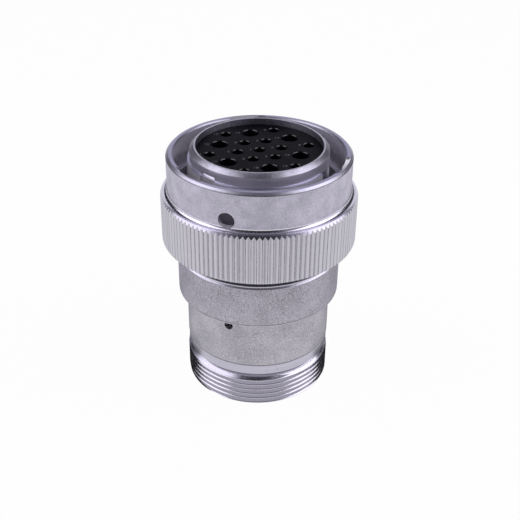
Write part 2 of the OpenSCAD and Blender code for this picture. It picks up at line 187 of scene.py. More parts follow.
class Shade:
    def __init__(self, tree, socket=None):
        self.tree, self.socket = tree, socket

    def node(self, kind, settings=None, sockets=None, out=0):
        made = self.tree.nodes.new(kind)
        for key, value in (settings or {}).items():
            setattr(made, key, value)
        for key, value in (sockets or {}).items():
            if isinstance(value, Shade):
                self.tree.links.new(value.socket, made.inputs[key])
            else:
                made.inputs[key].default_value = value
        return Shade(self.tree, made.outputs[out] if made.outputs else None)

    def maths(self, operation, *values):
        return self.node("ShaderNodeMath", {"operation": operation}, dict(enumerate(values)))

    def __add__(self, other):
        return self.maths("ADD", self, other)

    def __radd__(self, other):
        return self.maths("ADD", other, self)

    def __sub__(self, other):
        return self.maths("SUBTRACT", self, other)

    def __rsub__(self, other):
        return self.maths("SUBTRACT", other, self)

    def __mul__(self, other):
        return self.maths("MULTIPLY", self, other)

    def __rmul__(self, other):
        return self.maths("MULTIPLY", other, self)

    def __truediv__(self, other):
        return self.maths("DIVIDE", self, other)

    def __rtruediv__(self, other):
        return self.maths("DIVIDE", other, self)

    def __pow__(self, other):
        return self.maths("POWER", self, other)

    def __rpow__(self, other):
        return self.maths("POWER", other, self)

    def output(self, name):
        # another output of the same node
        return Shade(self.tree, self.socket.node.outputs[name])

    def over(self, low, high):
        # 0 below low, 1 above high, straight between
        span = {"Value": self, "From Min": low, "From Max": high, "To Min": 0.0, "To Max": 1.0}
        return self.node("ShaderNodeMapRange", {}, span)

    def tint(self, dark, light):
        # colour that runs from dark to light with this value
        return self.node(
            "ShaderNodeMix", {"data_type": "RGBA"}, {0: self, 6: (*dark, 1), 7: (*light, 1)}, out=2
        )


def newMaterial(name):
    material = bpy.data.materials.new(name)
    material.use_nodes = True
    material.node_tree.nodes.clear()
    return material, Shade(material.node_tree)


def surface(shade, colour, metallic, rough, height, look):
    # Principled shader with a bump of the look's depth in mm
    normal = shade.node(
        "ShaderNodeBump", {}, {"Strength": look["bump"], "Distance": look["depth"] * mm, "Height": height}
    )
    shader = shade.node("ShaderNodeBsdfPrincipled", {}, {
        "Base Color": colour, "Metallic": metallic, "Roughness": rough, "Normal": normal,
        "Specular IOR Level": look.get("gloss", 0.5),
    })
    shade.node("ShaderNodeOutputMaterial", {}, {"Surface": shader})


def noise(shade, place, size, detail=2.0, rough=0.5):
    # soft noise whose grains are about size metres wide
    return shade.node(
        "ShaderNodeTexNoise", {}, {"Vector": place, "Scale": 1 / size, "Detail": detail, "Roughness": rough}
    )


def objectPlace(shade):
    return shade.node("ShaderNodeTexCoord", {}, {}, out="Object")


def roundPlace(shade, place, across, around):
    # place in turning order: height and radius in fine steps, and the angle in coarse ones
    x = shade.node("ShaderNodeSeparateXYZ", {}, {"Vector": place})
    y, z = x.output("Y"), x.output("Z")
    radius = (x * x + y * y) ** 0.5
    angle = shade.maths("ARCTAN2", y, x)
    steps = {"X": (z + radius) / across, "Y": (z - radius) / across, "Z": angle * around}
    return shade.node("ShaderNodeCombineXYZ", {}, steps), angle


# finishes: where each kind of noise begins and ends to show, and how far it moves the roughness

shows = {
    "grain": (0.3, 0.7), "line": (0.3, 0.7), "cloud": (0.35, 0.65), "pit": (0.66, 0.74), "nick": (0.62, 0.7),
}
strays = {"grain": 0.12, "line": 0.1, "cloud": 0.15, "pit": 0.1, "nick": 0.2}
noiseMean = 0.5
pitFall = 0.5  # depth of a pit's bump against that of the grains


def blastedMetal(name, look):
    # fine grains and soft clouds of tone, with a few dark pits
    material, shade = newMaterial(name)
    place = objectPlace(shade)
    grain = noise(shade, place, look["grain"] * mm, detail=3.0, rough=0.65)
    cloud = noise(shade, place, look["cloud"] * mm, detail=3.0, rough=0.6)
    pits = noise(shade, place, look["pit"] * mm, detail=1.0).over(*shows["pit"])
    share = look["grainShare"]
    tone = grain.over(*shows["grain"]) * share + cloud.over(*shows["cloud"]) * (1 - share)
    tone = tone * (1 - pits * look["pitDepth"])
    rough = look["rough"] + (grain - noiseMean) * strays["grain"] + pits * strays["pit"]
    surface(shade, tone.tint(look["dark"], look["light"]), 1.0, rough, grain - pits * pitFall, look)
    return material


def turnedMetal(name, look):
    # fine lines left by the turning tool, with small nicks
    material, shade = newMaterial(name)
    place = objectPlace(shade)
    fine, _ = roundPlace(shade, place, across=look["line"] * mm, around=0.6)
    line = noise(shade, fine, size=1.0, rough=0.6)
    nick = noise(shade, place, look["nick"] * mm, rough=0.6).over(*shows["nick"])
    tone = line.over(*shows["line"]) * (1 - nick * look["nickDepth"])
    rough = look["rough"] + (line - noiseMean) * strays["line"] + nick * strays["nick"]
    surface(shade, tone.tint(look["dark"], look["light"]), 1.0, rough, line - nick, look)
    return material


def knurlMetal(name, look):
    # grooves that differ a little in tone, with fine lines along them
    material, shade = newMaterial(name)
    place = objectPlace(shade)
    fine, angle = roundPlace(shade, place, across=look["along"] * mm, around=look["streaks"])
    streak = noise(shade, fine, size=1.0, rough=0.6)
    count = shade.maths("FLOOR", angle * (look["teeth"] / (2 * math.pi)) + look["phase"])
    each = shade.node("ShaderNodeTexWhiteNoise", {"noise_dimensions": "1D"}, {"W": count})
    grain = noise(shade, place, look["grain"] * mm, rough=0.6)
    tone = each * look["toothShare"] + streak.over(*shows["line"]) * look["streakShare"]
    tone = tone + grain.over(*shows["grain"]) * look["grainShare"]
    rough = look["rough"] + (grain - noiseMean) * strays["grain"]
    surface(shade, tone.tint(look["dark"], look["light"]), 1.0, rough, streak + grain, look)
    return material


def plainMatte(name, look):
    # moulded or rubber surface with a faint grain
    material, shade = newMaterial(name)
    place = objectPlace(shade)
    grain = noise(shade, place, look["grain"] * mm)
    cloud = noise(shade, place, look["cloud"] * mm)
    tone = grain * 0.5 + cloud * 0.5
    rough = look["rough"] + (cloud - noiseMean) * strays["cloud"]
    surface(shade, tone.tint(look["dark"], look["light"]), 0.0, rough, grain, look)
    return material


metal = {
    "ringBlasted": {
        "dark": (0.38, 0.365, 0.435), "light": (0.66, 0.63, 0.745), "rough": 0.46, "grain": 0.4, "cloud": 3.5,
        "pit": 0.45, "grainShare": 0.6, "pitDepth": 0.5, "bump": 0.4, "depth": 0.012,
    },
    "bodyBlasted": {
        "dark": (0.19, 0.182, 0.21), "light": (0.665, 0.64, 0.735), "rough": 0.5, "grain": 0.3, "cloud": 7.0,
        "pit": 0.5, "grainShare": 0.8, "pitDepth": 0.6, "bump": 0.6, "depth": 0.02,
    },
    "endBlasted": {
        "dark": (0.23, 0.222, 0.247), "light": (0.69, 0.665, 0.745), "rough": 0.47, "grain": 0.28,
        "cloud": 7.0, "pit": 0.5, "grainShare": 0.8, "pitDepth": 0.5, "bump": 0.5, "depth": 0.016,
    },
    # blasted barrel rim, also used as painted shade on the barrel past the ridge's end and in the narrow
    # keyways
    "rimBlastedAndShade": {
        "dark": (0.29, 0.284, 0.334), "light": (0.61, 0.588, 0.69), "rough": 0.36, "grain": 0.36,
        "cloud": 2.5, "pit": 0.4, "grainShare": 0.65, "pitDepth": 0.5, "bump": 0.5, "depth": 0.016,
    },
    "turned": {
        "dark": (0.46, 0.445, 0.52), "light": (0.62, 0.60, 0.70), "rough": 0.24, "line": 0.05, "nick": 0.4,
        "nickDepth": 0.5, "bump": 0.25, "depth": 0.004,
    },
    "turnedSatin": {
        "dark": (0.44, 0.43, 0.51), "light": (0.62, 0.60, 0.70), "rough": 0.34, "line": 0.06, "nick": 0.5,
        "nickDepth": 0.5, "bump": 0.3, "depth": 0.006,
    },
    "thread": {
        "dark": (0.50, 0.487, 0.545), "light": (0.64, 0.622, 0.69), "rough": 0.15, "line": 0.06, "nick": 0.5,
        "nickDepth": 0.5, "bump": 0.3, "depth": 0.005,
    },
    "fillet": {
        "dark": (0.59, 0.574, 0.656), "light": (0.75, 0.729, 0.825), "rough": 0.22, "line": 0.05, "nick": 0.4,
        "nickDepth": 0.5, "bump": 0.3, "depth": 0.006,
    },
    # worn and shaded edge: dark for wear on the ring band's upper corner, and painted shade and painted
    # reflection on the knurl and the ring's underside
    "worn": {
        "dark": (0.08, 0.077, 0.09), "light": (0.40, 0.385, 0.43), "rough": 0.4, "grain": 0.45, "cloud": 2.0,
        "pit": 0.5, "grainShare": 0.7, "pitDepth": 0.5, "bump": 0.3, "depth": 0.01,
    },
    # painted shade: dark finish for the body's underside, the shoulder under the ring, the endbell's relief
    # groove and thin lines where the parts step
    "paintedShadeLine": {
        "dark": (0.20, 0.19, 0.22), "light": (0.36, 0.345, 0.39), "rough": 0.5, "grain": 0.4, "cloud": 3.0,
        "pit": 0.5, "grainShare": 0.6, "pitDepth": 0.5, "bump": 0.4, "depth": 0.012,
    },
    "bore": {
        "dark": (0.72, 0.70, 0.77), "light": (0.86, 0.84, 0.90), "rough": 0.42, "line": 0.08, "nick": 0.6,
        "nickDepth": 0.4, "bump": 0.3, "depth": 0.006,
    },
    "barrel": {
        "dark": (0.86, 0.845, 0.88), "light": (0.95, 0.935, 0.96), "rough": 0.58, "line": 0.08, "nick": 0.6,
        "nickDepth": 0.3, "bump": 0.3, "depth": 0.006,
    },
    "leadIn": {
        "dark": (0.68, 0.662, 0.75), "light": (0.86, 0.837, 0.93), "rough": 0.42, "line": 0.08, "nick": 0.6,
        "nickDepth": 0.4, "bump": 0.3, "depth": 0.006,
    },
    "facet": {
        "dark": (0.90, 0.89, 0.93), "light": (0.96, 0.95, 0.98), "rough": 0.22, "line": 0.08, "nick": 0.6,
        "nickDepth": 0.3, "bump": 0.2, "depth": 0.004,
    },
    "mouth": {
        "dark": (0.28, 0.277, 0.38), "light": (0.4, 0.394, 0.53), "rough": 0.34, "line": 0.06, "nick": 0.5,
        "nickDepth": 0.5, "bump": 0.3, "depth": 0.006,
    },
    "steel": {
        "dark": (0.38, 0.38, 0.39), "light": (0.52, 0.52, 0.53), "rough": 0.3, "line": 0.06, "nick": 0.5,
        "nickDepth": 0.3, "bump": 0.2, "depth": 0.004,
    },
    "gold": {
        "dark": (0.62, 0.44, 0.17), "light": (0.83, 0.63, 0.28), "rough": 0.28, "line": 0.05, "nick": 0.4,
        "nickDepth": 0.3, "bump": 0.2, "depth": 0.003,
    },
}
knurlLook = {
    "teeth": 120, "phase": 0.33, "along": 0.9, "streaks": 900.0,
    "toothShare": 0.35, "streakShare": 0.35, "grainShare": 0.3, "dark": (0.51, 0.496, 0.553),
    "light": (0.665, 0.646, 0.712), "rough": 0.36, "grain": 0.3, "bump": 0.35, "depth": 0.008,
}
insertLook = {
    "dark": (0.0015, 0.0015, 0.003), "light": (0.004, 0.004, 0.0075), "rough": 0.5, "grain": 0.3,
    "cloud": 3.0, "bump": 0.25, "depth": 0.006, "gloss": 0.04,
}
edgeLook = {
    "dark": (0.002, 0.002, 0.003), "light": (0.006, 0.006, 0.009), "rough": 0.14, "grain": 0.3, "cloud": 3.0,
    "bump": 0.1, "depth": 0.003, "gloss": 0.7,
}
rubberLook = {
    "dark": (0.012, 0.012, 0.013), "light": (0.03, 0.03, 0.032), "rough": 0.7, "grain": 0.3, "cloud": 2.0,
    "bump": 0.3, "depth": 0.01, "gloss": 0.3,
}
# pale colour of the numbers: painted glint
numberGlintLook = {
    "dark": (0.05, 0.05, 0.065), "light": (0.19, 0.19, 0.23), "rough": 0.6, "grain": 0.2, "cloud": 0.6,
    "bump": 0.2, "depth": 0.004, "gloss": 0.3,
}
ringBlasted = blastedMetal("ring blasted", metal["ringBlasted"])
bodyBlasted = blastedMetal("body blasted", metal["bodyBlasted"])
endBlasted = blastedMetal("endbell blasted", metal["endBlasted"])
rimBlastedAndShade = blastedMetal("barrel blasted and painted shade", metal["rimBlastedAndShade"])
turned = turnedMetal("turned bright", metal["turned"])
turnedSatin = turnedMetal("turned satin", metal["turnedSatin"])
threadMetal = turnedMetal("thread", metal["thread"])
filletMetal = turnedMetal("fillet", metal["fillet"])
barrelMetal = turnedMetal("barrel", metal["barrel"])
leadMetal = turnedMetal("lead-in", metal["leadIn"])
boreMetal = turnedMetal("bored", metal["bore"])
facetMetal = turnedMetal("slot facet", metal["facet"])
mouthMetal = turnedMetal("ring mouth", metal["mouth"])
springSteel = turnedMetal("spring steel", metal["steel"])
goldPlate = turnedMetal("gold plate", metal["gold"])
wornAndShadedEdge = blastedMetal("worn and shaded edge", metal["worn"])
paintedShade = blastedMetal("painted shade", metal["paintedShadeLine"])
knurled = knurlMetal("knurled", knurlLook)
insertBlack = plainMatte("insert black", insertLook)
edgeBlack = plainMatte("polished edge", edgeLook)
rubberBlack = plainMatte("rubber black", rubberLook)
numberGlintPaint = plainMatte("painted number glints", numberGlintLook)
print("finishes made")


# coupling ring: sizes in mm and angles in degrees, as for all the pieces that follow

ring = {
    "bottom": 39.9, "knurlTop": 52.25, "mouth": 62.0, "crest": 23.8, "root": 23.4, "chamfer": 0.5,
    "chamferRise": 0.8, "rearBreak": 0.15, "rearRise": 0.3,
    "teeth": 120, "land": 0.2, "firstCrest": -1.0, "grooveTurns": (0.7, 1.15, 1.5, 1.85, 2.3),
    "band": 22.1, "fillet": 0.95, "filletRows": 9, "mouthChamfer": 0.65, "mouthLead": 0.32, "bore": 20.3,
    "wornWidth": 0.16, "wornKink": 0.004, "wornRounding": 0.005, "rounding": 0.09, "cornerSteps": 5,
    "wallRun": 2.0, "flangeTop": 43.4, "flangeBore": 18.58,
    "trackRadius": 21.1, "entry": 339, "entryHalf": 12.5, "entryMargin": 0.5, "trackTurn": 88,
    "lockHalf": 12.5, "trackWidth": 4.2, "entryDepth": 3.7, "lockDepth": 7.3, "tracks": 3, "overTrack": 1.0,
    "window": 1.95, "windowStart": 0.5, "slotEase": 0.08,
    "facetTurn": 21.5, "facetFull": 11.0, "facetWidth": 0.79, "facetOut": 0.32, "facetOutTurn": 2.0,
    "facetFall": 0.42,
}


def ringColumns():
    # angles of the grid's columns: seven to a tooth, and two close ones at each end of a slot or track
    tooth = np.array([-ring["land"], ring["land"], *ring["grooveTurns"]])
    crests = ring["firstCrest"] + 360 / ring["teeth"] * np.arange(ring["teeth"])
    ends = np.array([-ring["entryHalf"], ring["entryHalf"], -ring["trackTurn"] - ring["lockHalf"]])
    entries = ring["entry"] + 360 / ring["tracks"] * np.arange(ring["tracks"])
    ends = (entries[:, None] + ends).ravel()
    return np.sort(np.concatenate([(crests[:, None] + tooth).ravel(), ends - hair, ends + hair]) % 360)


def knurlRadius(turn):
    # crest with a narrow land, and straight V grooves: the depth grows as 1 - u, with u = 1 at a land's edge
    pitch = 360 / ring["teeth"]
    off = np.abs(turnFrom(turn, ring["firstCrest"], pitch))
    u = np.clip((pitch / 2 - off) / (pitch / 2 - ring["land"]), 0, 1)
    return ring["crest"] - (ring["crest"] - ring["root"]) * (1 - u)


def knurlAndFillet(toothRadius):
    # knurl between its broken rear edge and its front chamfer, then a quarter circle up to the smooth band
    flat = 0 * toothRadius
    fall = ring["crest"] - toothRadius
    broken = np.clip(1 - fall / ring["rearBreak"], 0, 1)
    knurl = np.array([
        [toothRadius - ring["rearBreak"] * broken, ring["bottom"] + flat],
        [toothRadius, ring["bottom"] + ring["rearRise"] * broken],
        [toothRadius, ring["knurlTop"] - ring["chamferRise"] * (1 - fall / ring["chamfer"])],
        [ring["crest"] - ring["chamfer"] + flat, ring["knurlTop"] + flat],
    ])
    swing = np.linspace(0, np.pi / 2, ring["filletRows"])[:, None]
    filletR = ring["band"] + ring["fillet"] - ring["fillet"] * np.sin(swing) + flat
    filletZ = ring["knurlTop"] + ring["fillet"] - ring["fillet"] * np.cos(swing) + flat
    return knurl, np.stack([filletR, filletZ], 1)


def pastSlot(turn):
    # angle past the middle of a slot, below 0 on the way along the track that runs down from it
    period = 360 / ring["tracks"]
    ahead = ring["entryHalf"] + ring["entryMargin"]
    return (turn - ring["entry"] - ahead) % period - period + ahead


def slotFacet(past, inSlot):
    # widths, inwards and outwards of the slot's wall, of a facet that widens in straight lines from its tip
    fromTip = ring["facetTurn"] - (ring["entryHalf"] - past)
    inward = ring["facetWidth"] * np.clip(fromTip / (ring["facetTurn"] - ring["facetFull"]), 0, 1)
    outward = ring["facetOut"] * np.clip(fromTip / ring["facetOutTurn"], 0, 1)
    return inward * inSlot, outward * inSlot


def ringMouth(inSlot, facetIn, facetOut):
    # round-cornered mouth, which a slot cuts back to its own wall or to the sloping facet
    band, mouth, bore, rounding = ring["band"], ring["mouth"], ring["bore"], ring["rounding"]
    steps, worn, chamferLow = ring["cornerSteps"], ring["wornWidth"], mouth - ring["mouthChamfer"]
    rows = turnedOutline(np.array([
        [band, mouth - ring["wallRun"], rounding],
        [band, chamferLow, rounding],
        [band - worn, chamferLow + worn + ring["wornKink"], ring["wornRounding"]],
        [band - ring["mouthChamfer"], mouth, rounding],
        [bore + ring["mouthLead"], mouth, rounding],
        [bore, mouth - ring["mouthLead"], rounding],
        [bore, mouth - ring["wallRun"], rounding],
    ]), steps)[steps:-steps]
    row = np.arange(len(rows))[:, None]
    cutBack = (row >= 3 * steps) & inSlot  # the rows past the outer chamfer
    slope = np.where(row >= 4 * steps, facetIn, -facetOut)
    drop = np.clip(row - 3 * steps, 0, steps - 1) / (steps - 1) * ring["slotEase"]
    r = np.where(cutBack, ring["trackRadius"] - slope, rows[:, :1])
    z = np.where(cutBack, mouth - drop - ring["facetFall"] * (slope + facetOut), rows[:, 1:])
    return np.stack([r, z], 1)


def ringInside(past, inSlot, facetIn):
    # bore with its slots, the ramp tracks, which fall in a straight line from slot to window, and the flange
    flat = 0 * past
    entryZ, lockZ = ring["mouth"] - ring["entryDepth"], ring["mouth"] - ring["lockDepth"]
    rampZ = np.maximum(lockZ, entryZ + (entryZ - lockZ) * past / ring["trackTurn"])
    inTrack = (past > -ring["trackTurn"] - ring["lockHalf"]) & (past < ring["entryHalf"])
    low = np.where(inSlot, np.minimum(rampZ, entryZ), rampZ) - ring["trackWidth"] / 2
    high = np.minimum(rampZ + ring["trackWidth"] / 2, ring["mouth"] - ring["overTrack"])
    slotR = np.where(inSlot, ring["trackRadius"] - facetIn, ring["bore"])
    trackR = np.where(inTrack, ring["trackRadius"], ring["bore"])
    boreR, flangeR, flangeZ = ring["bore"] + flat, ring["flangeBore"] + flat, ring["flangeTop"] + flat
    return np.array([
        [slotR, high], [trackR, high], [trackR, low], [boreR, low],
        [boreR, flangeZ], [flangeR, flangeZ], [flangeR, ring["bottom"] + flat],
    ])


def makeRing():
    turn = ringColumns()
    toothRadius = knurlRadius(turn)
    past = pastSlot(turn)
    inSlot = np.abs(past) < ring["entryHalf"]
    facetIn, facetOut = slotFacet(past, inSlot)
    knurlRows, filletRows = knurlAndFillet(toothRadius)
    mouthRows, insideRows = ringMouth(inSlot, facetIn, facetOut), ringInside(past, inSlot, facetIn)
    rows = np.concatenate([knurlRows, filletRows, mouthRows, insideRows])
    # finishes, in the order of the materials below
    band, bright, knurl, bored, satin, worn, fillet, facet, top = range(9)
    finish = np.full((len(rows), len(turn)), bright)
    steps = ring["cornerSteps"]
    bandRow = len(knurlRows) + len(filletRows) - 1
    topRow = bandRow + 3 * steps  # last row of the chamfer's inner corner: the flat top runs inwards from it
    # painted shade: the knurl's broken bottom edge is darkened as if in the shadow of the gap below it
    finish[0] = worn
    # painted reflection: the knurl's crest lands get the dark finish, as if they reflected the dark side
    # where the camera stands
    onLand = toothRadius + np.roll(toothRadius, -1) > 2 * ring["crest"] - near
    finish[1] = np.where(onLand, worn, knurl)
    finish[len(knurlRows) - 1:bandRow] = fillet
    finish[bandRow] = band
    finish[bandRow + 1:] = satin
    # wear: the band's upper corner takes the same dark finish
    finish[bandRow + 1:bandRow + 1 + steps] = worn
    finish[topRow - steps + 1:topRow + steps] = top
    finish[topRow + 1:topRow + 2 * steps, inSlot] = satin
    finish[topRow + steps, facetIn > 0] = facet
    finish[topRow + 2 * steps:] = bored
    # painted shade: the ring's underside, over the shell's shoulder, is darkened
    finish[-1] = worn
    piece = gridPiece(
        "couplingRing", spun(rows[:, 0], rows[:, 1], np.radians(turn)), finish,
        [ringBlasted, turned, knurled, boreMetal, turnedSatin, wornAndShadedEdge, filletMetal, facetMetal,
         mouthMetal],
    )
    turns = ring["entry"] - ring["trackTurn"] + 360 / ring["tracks"] * np.arange(ring["tracks"])
    start, height = ring["bore"] - ring["windowStart"], ring["mouth"] - ring["lockDepth"]
    windows = radialDrills(turns, start, height, ring["window"], bored)
    return dressed(drilled(piece, windows), "ring", "ring_metal", "coupling_ring")


couplingRing = makeRing()
print("coupling ring:", len(couplingRing.data.polygons), "faces")


# plug shell

shell = {
    "rear": 25.3, "bodyTop": 36.0, "bodyRadius": 20.18, "bodyChamfer": 0.35, "bodyRim": 0.4,
    "seatStep": 0.85, "seat": 39.85, "neckRadius": 18.5, "clipLow": 46.3, "clipHigh": 47.55,
    "clipRadius": 17.6, "neckTop": 48.95, "sealRadius": 17.4, "barrel": 50.55, "barrelRadius": 17.1,
    "ridge": 60.5, "leadRadius": 16.5, "rim": 63.75, "rimFall": 0.92, "rimFlat": 0.42,
    "bore": 15.1, "step": 43.45, "insertBore": 16.1, "threadTop": 33.5, "threadRadius": 17.25,
    "keyFloor": 16.55, "wideKey": 225.5, "wideHalf": 7.05, "keyTurns": (105, 140, 215, 265), "keyHalf": 2.68,
    "notchRise": 0.75, "notchDepth": 0.45, "notchStep": 0.03, "kinkOut": 0.003,
    "ridgeEnd": 327.82, "ridgeGap": 45, "columns": 288, "cornerSteps": 5,
    "rearEdge": 0.35, "paintedShadeLine": 0.32, "shadeLineDepth": 0.015, "shadeLineLean": 0.8, "shadeLineGap": 0.02,
    # worn is the rounding at the ends of the painted shade line
    "rounding": {
        "rearBore": 0.2, "kink": 0.005, "worn": 0.01, "body": 0.12, "shoulder": 0.16, "seatFoot": 0.08,
        "seat": 0.1, "fine": 0.05, "tight": 0.03, "ridge": 0.08, "ledge": 0.06,
        "rimFoot": 0.12, "rimTop": 0.1, "rimBore": 0.06,
    },
}
# finishes of the shell's runs, in the order of its materials
blastedRun, brightRun, rimAndShadeRun, boredRun, paintedShadeRun, barrelRun, leadInRun, ledgeRun = range(8)


def shellOutline():
    # corners as r, z, rounding and the finish of the run that follows
    s, e = shell, shell["rounding"]
    rimRadius, shoulder = s["bodyRadius"] - s["bodyChamfer"], s["bodyTop"] + s["bodyChamfer"] + s["bodyRim"]
    seatRadius = rimRadius - s["seatStep"]
    shadeLineLow, notchTop = s["rear"] + s["rearEdge"], s["ridge"] + s["notchRise"]
    return np.array([
        # painted shade on the body's underside, on a line just above its rear edge and on the shoulder under
        # the ring
        [s["threadRadius"], s["rear"], e["rearBore"], paintedShadeRun],
        [s["bodyRadius"] - s["shadeLineDepth"], s["rear"], s["rearEdge"], brightRun],
        [s["bodyRadius"] - s["shadeLineLean"] * s["shadeLineDepth"], shadeLineLow + s["shadeLineGap"], e["kink"], paintedShadeRun],
        [s["bodyRadius"], shadeLineLow + s["paintedShadeLine"], e["worn"], blastedRun],
        [s["bodyRadius"], s["bodyTop"], e["body"], brightRun],
        [rimRadius, s["bodyTop"] + s["bodyChamfer"], e["body"], brightRun],
        [rimRadius, shoulder, e["shoulder"], paintedShadeRun],
        [seatRadius, shoulder, e["seatFoot"], brightRun],
        [seatRadius, s["seat"], e["seat"], brightRun],
        [s["neckRadius"], s["seat"], e["fine"], brightRun],
        [s["neckRadius"], s["clipLow"], e["tight"], boredRun],
        [s["clipRadius"], s["clipLow"], e["tight"], boredRun],
        [s["clipRadius"], s["clipHigh"], e["tight"], boredRun],
        [s["neckRadius"], s["clipHigh"], e["tight"], brightRun],
        [s["neckRadius"], s["neckTop"], e["fine"], brightRun],
        [s["sealRadius"], s["neckTop"], e["tight"], brightRun],
        [s["sealRadius"], s["barrel"], e["fine"], brightRun],
        [s["barrelRadius"], s["barrel"], e["fine"], barrelRun],
        [s["barrelRadius"], s["ridge"], e["ridge"], ledgeRun],
        [s["leadRadius"], s["ridge"], e["ledge"], leadInRun],
        [s["leadRadius"] + s["kinkOut"], notchTop, e["kink"], leadInRun],
        [s["leadRadius"], notchTop + s["notchStep"], e["kink"], leadInRun],
        [s["leadRadius"], s["rim"] - s["rimFall"], e["rimFoot"], rimAndShadeRun],
        [s["bore"] + s["rimFlat"], s["rim"], e["rimTop"], rimAndShadeRun],
        [s["bore"], s["rim"], e["rimBore"], rimAndShadeRun],
        [s["bore"], s["step"], e["fine"], boredRun],
        [s["insertBore"], s["step"], e["fine"], boredRun],
        [s["insertBore"], s["threadTop"], e["fine"], boredRun],
        [s["threadRadius"], s["threadTop"], e["fine"], boredRun],
    ])


def makeShell():
    s = shell
    table = shellOutline()
    rows = turnedOutline(table[:, :3], s["cornerSteps"])
    keys = [(s["wideKey"], s["wideHalf"])] + [(s["wideKey"] + t, s["keyHalf"]) for t in s["keyTurns"]]
    ends = [[middle - half, middle + half] for middle, half in keys]
    ends = np.array(ends + [[s["ridgeEnd"], s["ridgeEnd"] + s["ridgeGap"]]]).ravel()
    base = np.arange(s["columns"]) * 360 / s["columns"]
    turn = np.sort(np.concatenate([base, ends - hair, ends + hair]) % 360)
    r, z = rows[:, :1] + 0 * turn, rows[:, 1:] + 0 * turn
    # a keyway is a flat floor across the barrel's wall: its radius grows as 1 / cos away from its middle
    inRange = (rows[:, 1:] > s["barrel"] - near) & (rows[:, 1:] < s["ridge"] + near)
    onBarrel = inRange & (rows[:, :1] > s["keyFloor"])
    # painted shade: past the ridge's end and in the narrow keyways the barrel's wall takes the darker rim
    # finish
    paintedShadeZone = (turn - s["ridgeEnd"]) % 360 < s["ridgeGap"]  # past the narrow keyway at the right the ridge ends
    r = np.where(onBarrel & paintedShadeZone, s["keyFloor"], r)
    for middle, half in keys:
        off = turnFrom(turn, middle)
        inKey = np.abs(off) < half
        paintedShadeZone |= inKey & (half < s["wideHalf"])
        floor = s["keyFloor"] / np.cos(np.radians(np.clip(off, -half, half)))
        r = np.where(onBarrel & inKey, np.minimum(floor, r), r)
    # a notch over the wide keyway: its floor leans inwards up to the notch's top
    overKey = np.abs(turnFrom(turn, s["wideKey"])) < s["wideHalf"]
    notchTop = np.abs(rows[:, 1:] - s["ridge"] - s["notchRise"]) < s["notchStep"] / 3
    r = np.where(notchTop & overKey, s["leadRadius"] - s["notchDepth"], r)
    # painted shade zone on the barrel gets the darker rim finish
    finish = np.where(onBarrel & paintedShadeZone, rimAndShadeRun, runFinishes(table[:, 3], s["cornerSteps"])[:, None])
    finish = np.where(np.roll(notchTop, -1, 0) & overKey, brightRun, finish)
    piece = gridPiece(
        "plugShell", spun(r, z, np.radians(turn)), finish,
        [bodyBlasted, turned, rimBlastedAndShade, boreMetal, paintedShade, barrelMetal, leadMetal, mouthMetal],
    )
    return dressed(piece, "plug", "shell_metal", "plug_shell")


plugShell = makeShell()
print("plug shell:", len(plugShell.data.polygons), "faces")


# endbell and its accessory thread

bell = {
    "threadRadius": 18.255, "pitch": 1.411, "threadDepth": 0.8, "threadTop": 8.2, "rearChamfer": 0.2,
    "reliefRadius": 17.0, "landLow": 9.4, "landFoot": 0.1, "landRadius": 18.0, "wallLow": 12.3,
    "wallRadius": 18.12, "wallTop": 25.3, "spigotRadius": 17.2, "spigotTop": 31.9, "bore": 15.5,
    "holes": 2, "holeRadius": 1.1, "holeHeight": 23.3, "holeTurn": 247.0, "holeStart": 1.0,
    "coneRadius": 18.2, "coneLow": 7.5, "coneRise": 0.45, "coneTop": 8.26, "paintedShadeLine": 0.4, "shadeLineDepth": 0.05,
    "lead": 0.4, "runOut": 0.12, "fade": 0.5, "crestHalf": 0.08, "flankTurn": 30, "flankSoft": 0.3,
    "flankPoints": 7, "sunk": 0.1, "helixStart": 90, "columns": 288, "cornerSteps": 5,
    # worn is the rounding at the ends of the painted shade line
    "rounding": {
        "rear": 0.25, "core": 0.1, "coneFoot": 0.02, "cone": 0.04, "relief": 0.03, "landFoot": 0.1,
        "land": 0.12, "worn": 0.01, "wallFoot": 0.05, "wall": 0.06, "spigotFoot": 0.05, "spigot": 0.2,
    },
}


def makeBell():
    b, e = bell, bell["rounding"]
    core = b["threadRadius"] - b["threadDepth"]
    # worn is the painted shade finish, the last of the materials below
    blasted, bright, satin, bored, worn = range(5)  # finishes, in the order of the materials below
    # corners as r, z, rounding and the finish of the run that follows
    table = np.array([
        [b["bore"], 0, e["rear"], satin],
        [core, 0, e["core"], bright],
        [core, b["coneLow"] - b["coneRise"], e["coneFoot"], bright],
        [b["coneRadius"], b["coneLow"], e["cone"], bright],
        # painted shade in the relief groove
        [b["reliefRadius"], b["coneTop"], e["relief"], worn],
        [b["reliefRadius"], b["landLow"] - b["landFoot"], e["landFoot"], bright],
        [b["landRadius"], b["landLow"], e["land"], satin],
        # painted shade on a line at the foot of the endbell's wall
        [b["landRadius"], b["wallLow"] - b["paintedShadeLine"], e["worn"], worn],
        [b["landRadius"] - b["shadeLineDepth"], b["wallLow"], e["worn"], worn],
        [b["wallRadius"], b["wallLow"], e["wallFoot"], blasted],
        [b["wallRadius"], b["wallTop"], e["wall"], bright],
        [b["spigotRadius"], b["wallTop"], e["spigotFoot"], bored],
        [b["spigotRadius"], b["spigotTop"], e["spigot"], bored],
        [b["bore"], b["spigotTop"], e["spigot"], bored],
    ])
    rows = turnedOutline(table[:, :3], b["cornerSteps"])
    turn = np.linspace(0, 2 * np.pi, b["columns"], endpoint=False)
    piece = gridPiece(
        "endbell", spun(rows[:, :1] + 0 * turn, rows[:, 1:], turn),
        runFinishes(table[:, 3], b["cornerSteps"])[:, None],
        [endBlasted, turned, turnedSatin, boreMetal, paintedShade],
    )
    turns = b["holeTurn"] + 360 / b["holes"] * np.arange(b["holes"])
    holes = radialDrills(turns, b["bore"] - b["holeStart"], b["holeHeight"], b["holeRadius"], bored)
    return dressed(drilled(piece, holes), "plug", "endbell_metal", "endbell")


